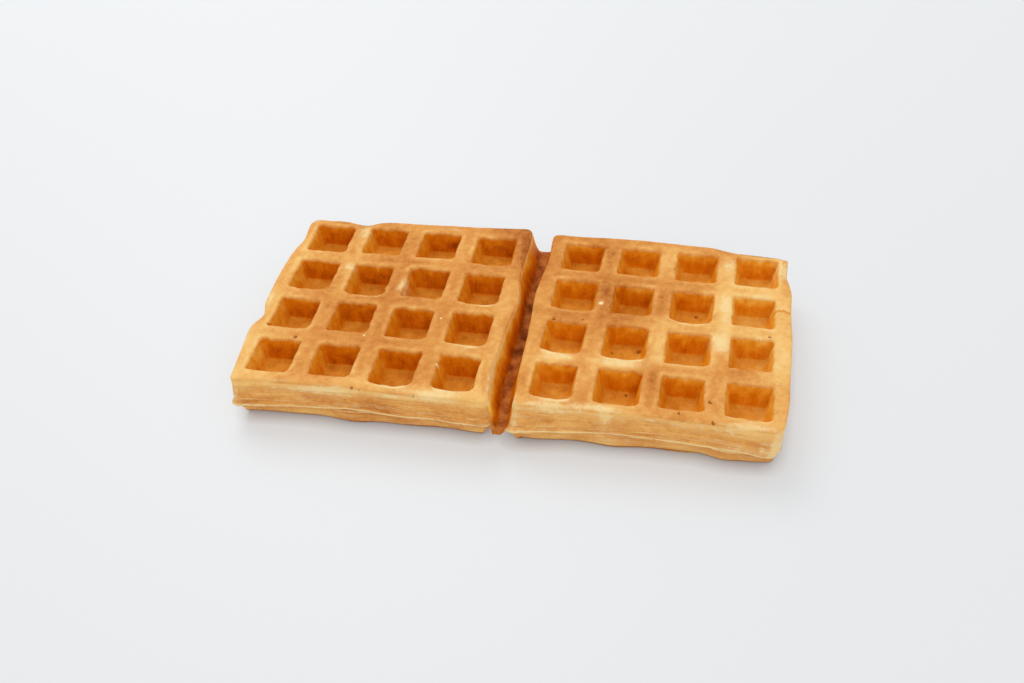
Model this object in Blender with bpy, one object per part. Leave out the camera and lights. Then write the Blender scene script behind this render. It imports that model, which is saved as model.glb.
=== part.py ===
"""A Belgian waffle: two squares of four by four deep pockets, joined by a thin web of dough.

Metres, +Z up. It lies flat on z = 0 with its length along X and its front edge towards -Y. One
closed block of lattice squares is made first, and each of its points is then moved to its place
on the waffle.
"""

import math
import random

import bmesh
import bpy
from mathutils import Matrix, Vector, noise

MM = 0.001
ALMOST = 1e-7  # for comparing two lengths
SEED = 11

# The whole
THICKNESS = 22.6 * MM
SEAM_HEIGHT = 9.6 * MM  # of the line where the iron's two plates met
BETWEEN_MIDDLES = 117.6 * MM  # from the middle of one square to the middle of the other
RIGHT_TURN = math.radians(-1.2)  # the right square lies a little askew
RIGHT_SHRINK = 0.981  # and baked a little smaller

# Each square
POCKETS = 4  # along each side
PITCH = 26.0 * MM  # from one pocket to the next
TOP_DEPTH = 10.2 * MM
UNDER_DEPTH = 7.8 * MM
FLOOR_HALF = 6.75 * MM  # half a pocket's floor
LIP_HALF = 8.95 * MM  # half a pocket's opening
RIDGE_HALF = 9.9 * MM  # where the flat top of the ridges begins
LIP_DROP = 0.8 * MM  # how far the rounded lip lies below the ridges
POCKET_CORNER = 1.9 * MM  # the radius of its corners
RIM_HALF = 54.0 * MM  # half the square at its upper edge
RIM_FLAT = 52.6 * MM  # where the flat top of the rim ends
RIM_DROP = 0.9 * MM
RIM_CORNER = 3.0 * MM  # the radius of the square's own corners
END_CORNER = 6.0 * MM  # at the waffle's right end
DENTED_FROM = 48.9 * MM  # a dent in the rim reaches in as far as the outer pockets

# The side wall from the base up: (height, how far it stands out past the upper edge)
BASE_EDGE = (0.9 * MM, -2.3 * MM)
BELOW_SEAM = (8.0 * MM, -0.5 * MM)
SEAM = (SEAM_HEIGHT, 0.8 * MM)
ABOVE_SEAM = (11.4 * MM, 0.5 * MM)
UPPER_EDGE = (THICKNESS - RIM_DROP, 0.0)
WALL = (BASE_EDGE, BELOW_SEAM, SEAM, ABOVE_SEAM, UPPER_EDGE)
TOP = len(WALL) - 1

# The web between the squares
WEB_HALF = 1.7 * MM
WEB_TOP = 9.4 * MM
WEB_UNDER = 6.8 * MM
WEB_FRONT = 2.4 * MM  # how far its ends stand out past the rims
WEB_BACK = 1.6 * MM

# What baking made uneven
POCKET_SHIFT = 0.35 * MM
POCKET_SWELL = 0.3 * MM
DEPTH_SPREAD = 0.5 * MM
LIP_BOW = 0.35 * MM  # how far the lip nearest the front edge curves outwards
SAGGED_BOW = 1.3 * MM
SWAY = 0.55 * MM  # slow wandering of every line
SWAY_LENGTH = 24.0 * MM
SEAM_SWAY = 0.8 * MM
SEAM_LENGTH = 19.0 * MM

# Pockets whose front lip sagged, as (column, row) from the back left
SAGGED = {
    "left": {(1, 1), (3, 1), (3, 2), (2, 3), (3, 3)},
    "right": {(2, 1), (0, 2), (1, 2), (0, 3)},
}

# Dents of the rim and the wall under it. Each has the square, the side, its place along that
# side, its half width, how far it goes in, less than 0 for a bulge, and how far the rim drops.
DENTS = (
    ("left", "left", 54 * MM, 8 * MM, 1.4 * MM, 0.4 * MM),
    ("left", "left", 38 * MM, 8 * MM, 1.9 * MM, 0.5 * MM),
    ("left", "left", 0 * MM, 48 * MM, -0.9 * MM, 0.0 * MM),
    ("left", "left", -16 * MM, 5 * MM, 2.1 * MM, 0.5 * MM),
    ("left", "left", -26 * MM, 7 * MM, -0.9 * MM, 0.0 * MM),
    ("left", "left", -52 * MM, 11 * MM, 0.8 * MM, 0.2 * MM),
    ("left", "back", -50 * MM, 22 * MM, 1.0 * MM, 0.8 * MM),
    ("left", "back", -26 * MM, 6 * MM, 2.0 * MM, 1.1 * MM),
    ("left", "back", 50 * MM, 30 * MM, -2.6 * MM, 0.0 * MM),
    ("left", "right", 8 * MM, 12 * MM, -2.2 * MM, 0.0 * MM),
    ("left", "right", 46 * MM, 9 * MM, -0.6 * MM, 0.0 * MM),
    ("left", "right", -34 * MM, 8 * MM, 1.0 * MM, 0.3 * MM),
    ("left", "right", -56 * MM, 8 * MM, -1.3 * MM, 0.0 * MM),
    ("left", "front", -56 * MM, 14 * MM, -1.2 * MM, 0.0 * MM),
    ("left", "front", 0 * MM, 22 * MM, 0.7 * MM, 0.0 * MM),
    ("right", "left", 11 * MM, 20 * MM, -1.9 * MM, 0.0 * MM),
    ("right", "left", 54 * MM, 8 * MM, -1.3 * MM, 0.0 * MM),
    ("right", "back", -12 * MM, 34 * MM, -0.9 * MM, 0.0 * MM),
    ("right", "back", 28 * MM, 6 * MM, 1.0 * MM, 0.6 * MM),
    ("right", "back", 43 * MM, 12 * MM, 1.6 * MM, 1.2 * MM),
    ("right", "back", 56 * MM, 8 * MM, 1.9 * MM, 0.4 * MM),
    ("right", "right", 41 * MM, 9 * MM, 2.4 * MM, 0.6 * MM),
    ("right", "right", -2 * MM, 42 * MM, -0.8 * MM, 0.0 * MM),
    ("right", "right", 55 * MM, 7 * MM, 1.2 * MM, 0.0 * MM),
    ("right", "right", -54 * MM, 14 * MM, 1.2 * MM, 0.3 * MM),
    ("right", "front", -56 * MM, 14 * MM, -1.2 * MM, 0.0 * MM),
    ("right", "front", 10 * MM, 28 * MM, 1.2 * MM, 0.2 * MM),
)

# Where the seam flares out, or falls back, and where the wall below it does. Each has the
# square, the side, its place along that side, its half width and how far it stands out.
FLARES = (
    ("left", "front", -54 * MM, 18 * MM, 2.8 * MM),
    ("left", "front", 54 * MM, 14 * MM, 1.0 * MM),
    ("left", "left", -54 * MM, 12 * MM, -0.8 * MM),
    ("left", "left", 10 * MM, 40 * MM, 0.8 * MM),
    ("left", "back", 10 * MM, 40 * MM, 0.9 * MM),
    ("right", "front", -54 * MM, 18 * MM, 3.0 * MM),
    ("right", "left", -54 * MM, 6 * MM, 3.0 * MM),
    ("right", "front", 50 * MM, 14 * MM, 1.2 * MM),
    ("right", "back", -10 * MM, 40 * MM, 1.0 * MM),
    ("right", "right", -50 * MM, 45 * MM, -1.9 * MM),
)
FLARE_SHARES = (0.0, 0.6, 1.0, 0.5, 0.0)
BASE_BULGES = (
    ("left", "front", -4 * MM, 9 * MM, 1.8 * MM),
    ("left", "front", 36 * MM, 11 * MM, -1.0 * MM),
    ("left", "right", -54 * MM, 6 * MM, -2.4 * MM),
    ("left", "back", -30 * MM, 12 * MM, 1.2 * MM),
    ("right", "left", -54 * MM, 6 * MM, 2.4 * MM),
    ("right", "front", -44 * MM, 9 * MM, 1.0 * MM),
    ("right", "front", -13 * MM, 9 * MM, 1.6 * MM),
    ("right", "front", 21 * MM, 6 * MM, -0.8 * MM),
    ("right", "front", 32 * MM, 6 * MM, 1.0 * MM),
    ("right", "front", 50 * MM, 5 * MM, -1.2 * MM),
    ("right", "back", 24 * MM, 14 * MM, -1.0 * MM),
)
BASE_SHARES = (1.0, 0.7, 0.0, 0.0, 0.0)
SIDES = {"left": (-1, 0), "right": (1, 0), "back": (0, 1), "front": (0, -1)}

CRUST = (0.66, 0.33, 0.09, 1.0)
CRUST_ROUGHNESS = 0.55


def clear_scene():
    for thing in list(bpy.data.objects):
        bpy.data.objects.remove(thing, do_unlink=True)


def crust_material():
    material = bpy.data.materials.new("baked_crust")
    material.use_nodes = True
    shader = material.node_tree.nodes["Principled BSDF"]
    shader.inputs["Base Color"].default_value = CRUST
    shader.inputs["Roughness"].default_value = CRUST_ROUGHNESS
    shader.inputs["Metallic"].default_value = 0.0
    return material


def pocket_middle(number):
    return (number - (POCKETS - 1) / 2) * PITCH


def square_lines():
    """Where the lattice's lines cross one square, from its middle."""
    lines = [-RIM_HALF, -RIM_FLAT]
    for number in range(POCKETS):
        for reach in (-RIDGE_HALF, -LIP_HALF, -FLOOR_HALF, 0, FLOOR_HALF, LIP_HALF, RIDGE_HALF):
            lines.append(pocket_middle(number) + reach)
    return lines + [RIM_FLAT, RIM_HALF]


def lattice_columns():
    """Each column's square, or web, and its place there."""
    columns = [("left", u) for u in square_lines()]
    columns += [("web", side) for side in (-1, 0, 1)]
    return columns + [("right", u) for u in square_lines()]


def lattice_block(columns, rows, layers):
    """A closed block with its points at whole numbers: a sheet under it, a sheet on top, and
    between them one ring of points round the edge for each layer."""
    block = bmesh.new()
    stretch = Matrix.Diagonal((columns, rows, 1, 1)) @ Matrix.Translation((0.5, 0.5, 0))
    bmesh.ops.create_grid(block, x_segments=columns, y_segments=rows, size=0.5, matrix=stretch)
    sheet = [*block.faces, *block.edges, *block.verts]
    for _ in range(layers):
        sheet = bmesh.ops.extrude_face_region(block, geom=sheet)["geom"]
        raised = [part for part in sheet if isinstance(part, bmesh.types.BMVert)]
        bmesh.ops.translate(block, verts=raised, vec=(0, 0, 1))
    return block


def pocket_at(u, v):
    """The column and row, from the back left, of the pocket nearest to a point of a square."""
    column = min(POCKETS - 1, max(0, round(u / PITCH + (POCKETS - 1) / 2)))
    row = min(POCKETS - 1, max(0, round((POCKETS - 1) / 2 - v / PITCH)))
    return column, row


def pocket_traits(square, face, column, row):
    """How one pocket differs from the plain one: its shift, swelling, depth and front lip."""
    draw = random.Random(f"{SEED} {square} {face} {column} {row}")
    shift = Vector((draw.uniform(-1, 1), draw.uniform(-1, 1))) * POCKET_SHIFT
    swell = draw.uniform(-1, 1) * POCKET_SWELL
    deeper = draw.uniform(-1, 1) * DEPTH_SPREAD
    sagged = face == "top" and (column, row) in SAGGED[square]
    bow = SAGGED_BOW if sagged else LIP_BOW * draw.uniform(0, 2)
    return shift, swell, deeper, bow


def fade(value, full, none):
    """1 up to full, 0 from none on, and a smooth step between."""
    share = min(1.0, max(0.0, (none - value) / (none - full)))
    return share * share * (3 - 2 * share)


def profile(reach, depth):
    """How far a pocket lies below its ridges, at this reach from its middle."""
    if reach >= LIP_HALF:
        share = min(1.0, (RIDGE_HALF - reach) / (RIDGE_HALF - LIP_HALF))
        return LIP_DROP * max(0.0, share)
    share = min(1.0, (LIP_HALF - reach) / (LIP_HALF - FLOOR_HALF))
    return LIP_DROP + share * (depth - LIP_DROP)


def rounded(across, along, straight):
    """Pulls a square's corner onto an arc. straight is where the arc begins."""
    over_across = abs(across) - straight
    over_along = abs(along) - straight
    if over_across <= 0 or over_along <= 0:
        return across, along
    pull = max(over_across, over_along) / math.hypot(over_across, over_along)
    return (
        math.copysign(straight + over_across * pull, across),
        math.copysign(straight + over_along * pull, along),
    )


def in_pocket(square, face, u, v):
    """Where a point of the plain square goes once its pocket is shaped, and its depth there."""
    column, row = pocket_at(u, v)
    middle = Vector((pocket_middle(column), -pocket_middle(row)))
    across, along = u - middle.x, v - middle.y
    reach = max(abs(across), abs(along))
    shift, swell, deeper, bow = pocket_traits(square, face, column, row)
    held = fade(reach, RIDGE_HALF, PITCH / 2)
    full_depth = (TOP_DEPTH if face == "top" else UNDER_DEPTH) + deeper
    depth = profile(reach, full_depth)
    arc_across, arc_along = rounded(across, along, LIP_HALF - POCKET_CORNER)
    moved = Vector((arc_across - across, arc_along - along)) + shift
    moved += Vector((across, along)) * (swell / LIP_HALF)
    if along < 0:
        moved.y -= bow * (along / LIP_HALF) ** 2 * max(0.0, 1 - (across / RIDGE_HALF) ** 2)
    return Vector((u, v)) + moved * held, depth


def bell(along, place, half_width):
    return math.exp(-(((along - place) / half_width) ** 2))


def rim_dents(square, u, v):
    """How far dents move this point of a square, and how far they lower it."""
    move = Vector((0.0, 0.0))
    drop = 0.0
    for dented, side, place, half_width, inward, lower in DENTS:
        if dented != square:
            continue
        out = Vector(SIDES[side])
        weight = 1 - fade(out.dot((u, v)), DENTED_FROM, RIM_FLAT)
        weight *= bell(v if out.x else u, place, half_width)
        move -= out * inward * weight
        drop += lower * weight
    return move, drop


def bulges(table, square, u, v, normal):
    """How far a table's bulges push out the wall here, where it faces along normal."""
    total = 0.0
    for bulged, side, place, half_width, outward in table:
        out = Vector(SIDES[side])
        if bulged == square and normal.dot(out) > 0:
            total += outward * normal.dot(out) * bell(v if out.x else u, place, half_width)
    return total


def sway(square, u, v, height):
    """The slow wandering of the whole surface, smooth in every direction."""
    place = Vector((u, v, height)) / SWAY_LENGTH
    place.z += SEED + (40 if square == "right" else 0)
    return Vector([noise.noise(place + Vector((0, 0, 5 * axis))) for axis in range(3)]) * SWAY


def corner_radius(square, u):
    return END_CORNER if square == "right" and u > 0 else RIM_CORNER


def edge_normal(square, u, v):
    """The way the square's edge faces at a point of it, or nothing inside the edge."""
    if max(abs(u), abs(v)) < RIM_HALF - ALMOST:
        return Vector((0.0, 0.0))
    straight = RIM_HALF - corner_radius(square, u)
    over = Vector((max(0.0, abs(u) - straight), max(0.0, abs(v) - straight))).normalized()
    return Vector((math.copysign(over.x, u), math.copysign(over.y, v)))


def seam_wander(square, u, v, level):
    """How the seam and the wall near it wander up and down, and in and out."""
    place = Vector((u, v, 0)) / SEAM_LENGTH
    place.z = 3 * level + SEED + (70 if square == "right" else 0)
    return noise.noise(place) * SEAM_SWAY, noise.noise(place + Vector((9, 9, 9))) * SEAM_SWAY


def square_to_waffle(square, point, height):
    """From a square's own plane to the waffle's frame."""
    if square == "left":
        return Vector((point.x - BETWEEN_MIDDLES / 2, point.y, height))
    turned = Matrix.Rotation(RIGHT_TURN, 2) @ point * RIGHT_SHRINK
    return Vector((turned.x + BETWEEN_MIDDLES / 2, turned.y, height))


def wall_point(square, u, v, layer, normal):
    """How far out and how high the wall is at this layer, before the slow wandering."""
    height, reach = WALL[layer]
    reach += FLARE_SHARES[layer] * bulges(FLARES, square, u, v, normal)
    reach += BASE_SHARES[layer] * bulges(BASE_BULGES, square, u, v, normal)
    if 0 < layer < TOP:
        up, out = seam_wander(square, u, v, layer)
        height += up
        reach += out
    return reach, height


def square_point(square, u, v, layer):
    """The place of one lattice point of a square."""
    face = "top" if layer == TOP else "under"
    flat = Vector((u, v))
    depth = 0.0
    if layer in (0, TOP):
        flat, depth = in_pocket(square, face, u, v)
    flat = Vector(rounded(flat.x, flat.y, RIM_HALF - corner_radius(square, u)))
    dented, drop = rim_dents(square, u, v)
    flat += dented
    normal = edge_normal(square, u, v)
    if normal.length > 0:
        reach, height = wall_point(square, u, v, layer, normal)
        flat += normal * reach
    elif layer == 0:
        height = depth
        inset = 1 - fade(max(abs(u), abs(v)), DENTED_FROM, RIM_FLAT)
        flat += Vector((u, v)) * (inset * BASE_EDGE[1] / RIM_HALF)
    else:
        height = THICKNESS - depth
    loose = sway(square, u, v, height)
    flat += loose.xy
    if layer == TOP:
        height += loose.z - drop
    return square_to_waffle(square, flat, height)


def web_point(side, v, layer):
    """The place of one lattice point of the web, between the squares' facing edges."""
    left = square_point("left", RIM_HALF, v, TOP)
    right = square_point("right", -RIM_HALF, v, TOP)
    point = (left + right) / 2
    point.x += side * WEB_HALF
    point.z = WEB_UNDER + (WEB_TOP - WEB_UNDER) * layer / TOP
    if abs(v) >= RIM_HALF - ALMOST:
        point.y += WEB_BACK if v > 0 else -WEB_FRONT
    return point


def place_points(block, columns, rows):
    """Moves the block's whole-number points onto the waffle."""
    for point in block.verts:
        column, row, layer = (round(number) for number in point.co)
        where, u = columns[column]
        if where == "web":
            point.co = web_point(u, rows[row], layer)
        else:
            point.co = square_point(where, u, rows[row], layer)


def stand_on_origin(block):
    """Puts the middle of the waffle's box over the origin."""
    for axis in (0, 1):
        ends = [point.co[axis] for point in block.verts]
        middle = (min(ends) + max(ends)) / 2
        for point in block.verts:
            point.co[axis] -= middle


def waffle():
    columns = lattice_columns()
    rows = square_lines()
    block = lattice_block(len(columns) - 1, len(rows) - 1, len(WALL) - 1)
    place_points(block, columns, rows)
    stand_on_origin(block)
    bmesh.ops.triangulate(block, faces=list(block.faces), quad_method="SHORT_EDGE")
    bmesh.ops.recalc_face_normals(block, faces=list(block.faces))
    shape = bpy.data.meshes.new("waffle")
    block.to_mesh(shape)
    block.free()
    shape.materials.append(crust_material())
    return bpy.data.objects.new("waffle", shape)


def main():
    clear_scene()
    kept = bpy.data.collections.new("belgian_waffle")
    bpy.context.scene.collection.children.link(kept)
    kept.objects.link(waffle())


main()
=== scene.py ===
"""The looks of a Belgian waffle: its whole crust as one finely modelled piece, on a pale floor.

The piece stands for the CAD solid. It is laid out by the same driving sizes and the same slow
wandering, with rounded lips, a flaky seam, pits and browning added.
"""

import math
import random

import bpy
import numpy as np
from mathutils import Matrix, Vector, noise


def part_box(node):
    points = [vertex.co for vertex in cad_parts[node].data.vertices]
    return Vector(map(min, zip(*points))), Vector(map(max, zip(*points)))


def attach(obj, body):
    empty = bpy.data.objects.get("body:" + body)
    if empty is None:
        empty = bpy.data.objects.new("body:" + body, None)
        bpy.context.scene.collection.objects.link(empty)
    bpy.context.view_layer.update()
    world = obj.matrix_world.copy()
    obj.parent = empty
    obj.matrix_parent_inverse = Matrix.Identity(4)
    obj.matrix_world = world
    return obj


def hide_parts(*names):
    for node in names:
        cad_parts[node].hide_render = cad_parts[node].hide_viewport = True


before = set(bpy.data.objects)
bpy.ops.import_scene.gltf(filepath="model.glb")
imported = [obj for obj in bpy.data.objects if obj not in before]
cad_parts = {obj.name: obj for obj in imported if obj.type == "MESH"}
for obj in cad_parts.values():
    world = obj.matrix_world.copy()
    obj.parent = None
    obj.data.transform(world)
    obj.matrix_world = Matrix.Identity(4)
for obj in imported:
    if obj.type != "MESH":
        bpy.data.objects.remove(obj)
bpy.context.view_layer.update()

MM = 0.001
SEED = 11
TINY = 1e-12

# The whole
THICKNESS = 22.6 * MM
SEAM_HEIGHT = 9.6 * MM
BETWEEN_MIDDLES = 117.6 * MM
RIGHT_TURN = math.radians(-1.2)
RIGHT_SHRINK = 0.981

# Each square
POCKETS = 4
PITCH = 26.0 * MM
TOP_DEPTH = 10.2 * MM
UNDER_DEPTH = 7.8 * MM
LIP_HALF = 8.95 * MM
LIP_EDGE = 9.1  # where a lip catches the light, in mm from the pocket's middle
RIDGE_HALF = 9.9 * MM
POCKET_CORNER = 1.1 * MM
NEAR_CORNER = 2.3 * MM  # of a pocket's front right corner
RIM_HALF = 54.0 * MM
RIM_FLAT = 52.0 * MM
RIM_DROP = 0.9 * MM
RIM_CORNER = 3.0 * MM
END_CORNER = 6.0 * MM
DENTED_FROM = 48.9 * MM
DENTED_FULL = 52.6 * MM

# Half a pocket from its middle: how far out in mm, and the share of the pocket's depth there
PROFILE_REACH = (
    0.0, 1.6, 3.2, 4.6, 5.7, 6.3, 6.7, 6.95, 7.2, 7.5, 7.8,
    8.1, 8.4, 8.65, 8.85, 9.05, 9.3, 9.65, 10.3, 11.6, 13.0,
)
PROFILE_SHARE = (
    1.0, 1.0, 1.0, 0.997, 0.985, 0.95, 0.89, 0.81, 0.71, 0.59, 0.475,
    0.365, 0.255, 0.165, 0.1, 0.058, 0.028, 0.01, 0.002, 0.0, 0.0,
)
RIM_LINES = (52.6 * MM, 53.3 * MM, 53.75 * MM, RIM_HALF)

# The side wall: (height, how far it stands out past the upper edge) at each level from the base
WALL = (
    (0.9 * MM, -2.3 * MM),
    (8.0 * MM, -0.5 * MM),
    (SEAM_HEIGHT, 0.8 * MM),
    (11.4 * MM, 0.5 * MM),
    (THICKNESS - RIM_DROP, 0.0),
)
TOP = len(WALL) - 1
WALL_STEPS = (0, 0.08, 0.3, 0.6, 0.85, 1, 1.45, 1.75, 2, 2.25, 2.6, 3, 3.15, 3.35, 3.56, 3.78, 3.92, TOP)

# The web between the squares, and the groove's walls down to it, by share of the way
WEB_HALF = 1.7 * MM
WEB_TOP = 9.4 * MM
WEB_UNDER = 6.8 * MM
WEB_FRONT = 2.4 * MM
WEB_BACK = 1.6 * MM
WEB_END_FROM = 49.0 * MM
GROOVE_ACROSS = (0.05, 0.12, 0.22, 0.34, 0.47, 0.6, 0.76, 1)
GROOVE_DOWN = (0.05, 0.15, 0.3, 0.48, 0.66, 0.81, 0.93, 1)
WEB_LINES = (-0.6, -0.2, 0.0, 0.2, 0.6)

# What baking made uneven
POCKET_SHIFT = 0.35 * MM
POCKET_SWELL = 0.3 * MM
DEPTH_SPREAD = 0.5 * MM
LIP_BOW = 0.35 * MM
SAGGED_BOW = 1.7 * MM
SWAY = 0.55 * MM
SWAY_LENGTH = 24.0 * MM
SEAM_SWAY = 0.8 * MM
SEAM_LENGTH = 19.0 * MM
SWAY_SEEDS = {"left": SEED, "right": SEED + 40}
AXIS_SEEDS = 5  # from one axis's seed to the next
SEAM_SEEDS = {"left": SEED, "right": SEED + 70}
LEVEL_SEEDS = 3  # from one wall level's seed to the next
SEAM_APART = 9  # seam lengths from a level's height noise to its reach noise
SAGGED = {
    "left": {(1, 1), (3, 1), (3, 2), (2, 3), (3, 3)},
    "right": {(2, 1), (0, 2), (1, 2), (0, 3)},
}

# Dents of each square's sides, in mm: (place along it, half width, how far in, how far the rim drops)
DENTS = {
    ("left", "left"): (
        (54, 8, 1.4, 0.4), (38, 8, 1.9, 0.5), (0, 48, -0.9, 0.0),
        (-16, 5, 2.1, 0.5), (-26, 7, -0.9, 0.0), (-52, 11, 0.8, 0.2),
    ),
    ("left", "back"): (
        (-50, 22, 1.0, 0.8), (-26, 6, 2.0, 1.1), (50, 30, -2.6, 0.0),
    ),
    ("left", "right"): (
        (8, 12, -2.2, 0.0), (46, 9, -0.6, 0.0), (-34, 8, 1.0, 0.3),
        (-56, 8, -1.3, 0.0),
    ),
    ("left", "front"): (
        (-56, 14, -1.2, 0.0), (0, 22, 0.7, 0.0),
    ),
    ("right", "left"): (
        (11, 20, -1.9, 0.0), (54, 8, -1.3, 0.0), (-46, 12, 0.9, 0.0),
    ),
    ("right", "back"): (
        (-12, 34, -0.9, 0.0), (28, 6, 1.0, 0.6), (43, 12, 1.6, 1.2),
        (56, 8, 1.9, 0.4),
    ),
    ("right", "right"): (
        (41, 9, 2.4, 0.6), (-2, 42, -0.8, 0.0), (55, 7, 1.2, 0.0),
        (-54, 14, 1.2, 0.3),
    ),
    ("right", "front"): (
        (-56, 14, -1.2, 0.0), (10, 28, 1.2, 0.2),
    ),
}

# Where the seam flares, and the wall under it bulges: (square, side, place, half width, out) in mm
FLARES = (
    ("left", "front", -54, 18, 2.8),
    ("left", "front", 54, 14, 1.0),
    ("left", "left", -54, 12, -0.8),
    ("left", "left", 10, 40, 0.8),
    ("left", "back", 10, 40, 0.9),
    ("right", "front", -54, 18, 3.0),
    ("right", "left", -54, 6, 3.0),
    ("right", "front", 50, 14, 1.2),
    ("right", "back", -10, 40, 1.0),
    ("right", "right", -50, 45, -1.9),
)
FLARE_SHARES = (0.0, 0.6, 1.0, 0.5, 0.0)
BASE_BULGES = (
    ("left", "front", -4, 9, 1.8),
    ("left", "front", 36, 11, -1.0),
    ("left", "right", -54, 6, -2.4),
    ("left", "back", -30, 12, 1.2),
    ("right", "left", -54, 6, 2.4),
    ("right", "front", -44, 9, 1.0),
    ("right", "front", -13, 9, 1.6),
    ("right", "front", 21, 6, -0.8),
    ("right", "front", 32, 6, 1.0),
    ("right", "front", 50, 5, -1.2),
    ("right", "back", 24, 14, -1.0),
)
BASE_SHARES = (1.0, 0.7, 0.0, 0.0, 0.0)
SIDES = {"left": (-1, 0), "back": (0, 1), "right": (1, 0), "front": (0, -1)}

# Fine unevenness of the crust: (size of its features, how far it moves the surface)
RAGGED_LIPS = (3.4 * MM, 0.5 * MM)
RAGGED_WIDTH = 1.6 * MM
RAGGED_SEEDS = {"left": 5, "right": 6}
FAR_LIP_SHARE = 2.0  # how much more ragged the far lip of each pocket is
CRUST_WAVES = (5.5 * MM, 0.16 * MM)
CRUST_GRAIN = (1.9 * MM, 0.07 * MM)
WAVES_SEED = 31
GRAIN_SEED = 32
RESTING_STEPS = 0.5  # up to here the side wall isn't pushed out by the grain

# The flake along the seam and the crevice under it: the wall step, how many steps wide, how far
FLAKE_LENGTH = 9.0 * MM
FLAKE_SEEDS = {"left": 21, "right": 22}
FLAKE_TORN = 0.6  # how much of the flake stands without the noise
FLAKE_AT = (2.0, 0.22)
FLAKE_REACH = 0.55 * MM
CREVICE_AT = (1.6, 0.25)
CREVICE = 0.7 * MM
CREVICE_TORN = (0.7, 0.5)  # its depth without tearing, and what the tearing adds

# Pits in the top, whose darkening is painted shade inside them: (x, y, radius, depth) in mm
PITS = (
    (-91.5, -27.4, 0.9, 1.6),
    (-105.6, -21.1, 0.7, 1.0),
    (15.6, -2.4, 0.8, 1.3),
    (27.8, -1.4, 0.6, 0.8),
    (64.0, 36.5, 0.7, 0.8),
    (104.7, -2.4, 0.7, 0.9),
    (82.3, -41.5, 0.8, 1.0),
    (71.0, -48.7, 0.6, 0.8),
    (84.0, -51.5, 0.7, 0.7),
    (72.5, -52.5, 0.7, 0.6),
    (-58.8, -52.7, 0.6, 0.7),
    (-55.7, -53.3, 0.5, 0.6),
    (-33.2, -53.6, 0.6, 0.8),
)

# Bubble holes on pocket floors, drawn as dark spots of painted shade: (x, y, radius) in mm
BUBBLE_SHADE_SPOTS = (
    (52.4, -8.4, 1.2), (41.2, -10.4, 0.6), (27.3, -8.0, 0.5), (49.4, -32.8, 0.7),
    (74.6, 16.2, 0.9),
)

# The crack across the right rim, as a row of marks: (x, y, radius) in mm
CRACK = (
    (105.4, 13.6, 0.6), (106.3, 13.9, 0.7), (107.3, 13.5, 0.7), (108.3, 14.1, 0.8),
    (109.3, 13.8, 0.7), (110.3, 14.2, 0.8), (111.3, 13.6, 0.8), (112.3, 13.2, 0.7),
)

# Pale specks of dough: (x, y, radius) in mm
SPECKS = (
    (-62.3, -22.9, 0.5), (-74.3, 7.8, 0.5), (34.1, 9.5, 1.0), (23.6, 36.4, 0.8),
    (45.6, 11.6, 0.8), (-32.2, -8.6, 0.5), (-27.5, -35.4, 0.6),
)

# Browner and paler zones of the top: (x, y, half length, half width, all in mm, how much)
BROWNED = (
    (12, 46, 36, 34, 0.16),
    (-6, 48, 12, 20, 0.12),
    (30, 4, 34, 40, 0.08),
    (-62, -8, 26, 30, 0.16),
    (-6, -20, 5, 50, -0.16),
    (5, -30, 4, 30, -0.1),
    (62, -33, 9, 12, 0.14),
    (92, -22, 8, 8, 0.22),
    (66, 14, 10, 14, 0.08),
    (44, 12, 12, 10, 0.26),
    (-46, 12, 14, 12, 0.12),
    (106, 14, 24, 40, -0.28),
    (112, -30, 8, 30, -0.1),
    (-112, 0, 9, 60, -0.2),
    (-96, -50, 30, 8, -0.04),
    (-98, -38, 12, 9, -0.14),
    (110, 5, 5, 9, 0.12),
    (16, 39, 10, 10, -0.08),
    (71, -21, 13, 2.6, -0.2),
    (60, -12, 3.2, 12, -0.24),
    (86, 7, 3.4, 22, -0.2),
    (35, -28, 3.0, 9, -0.16),
    (78, 0, 13, 2.6, -0.16),
    (45, -25, 13, 2.6, -0.22),
    (20, -25, 9, 2.4, -0.2),
    (-59, -16, 3.4, 9, -0.2),
    (-81, 12, 3.2, 10, -0.14),
    (-80, 41, 3.2, 9, -0.14),
    (-55, 11, 3.2, 9, -0.14),
    (58, 7, 10, 3, 0.12),
    (0, -52, 130, 5, -0.16),
)

# Cream patches of bare dough: (x, y, half length, half width, all in mm, how much)
BARE = (
    (-82, 45, 3.5, 6, 1.0),
    (-82, 20, 3.0, 4, 1.1),
    (-54, 11, 3.0, 7, 0.9),
    (-111, -8, 3.0, 10, 1.0),
    (-112, -36, 3.0, 11, 0.9),
    (86, 41, 4.0, 8, 1.0),
    (86, 14, 4.0, 7, 0.9),
    (84, -8, 4.0, 6, 0.9),
    (110, 41, 4.5, 8, 1.0),
    (34, 9.5, 2.5, 3, 0.8),
    (-92, -54, 12, 3, 0.45),
    (-64, -54.5, 10, 2.2, 1.0),
    (-26, -52, 14, 2, 0.9),
    (20, -51.5, 10, 1.8, 0.9),
    (43, -50.3, 10, 1.8, 1.1),
    (98, -53, 12, 3.5, 0.9),
    (87, 4, 3, 20, 0.6),
    (-4.6, -42, 1.3, 14, 0.9),
    (-40, 52, 14, 1.6, 0.55),
    (47, -25, 10, 2.4, 1.2),
    (21, -25, 9, 2.2, 1.15),
    (71, -21.5, 10, 2.6, 0.95),
    (60, -12, 2.0, 9, 0.55),
    (-20, -26, 8, 2.4, 0.75),
)

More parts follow.
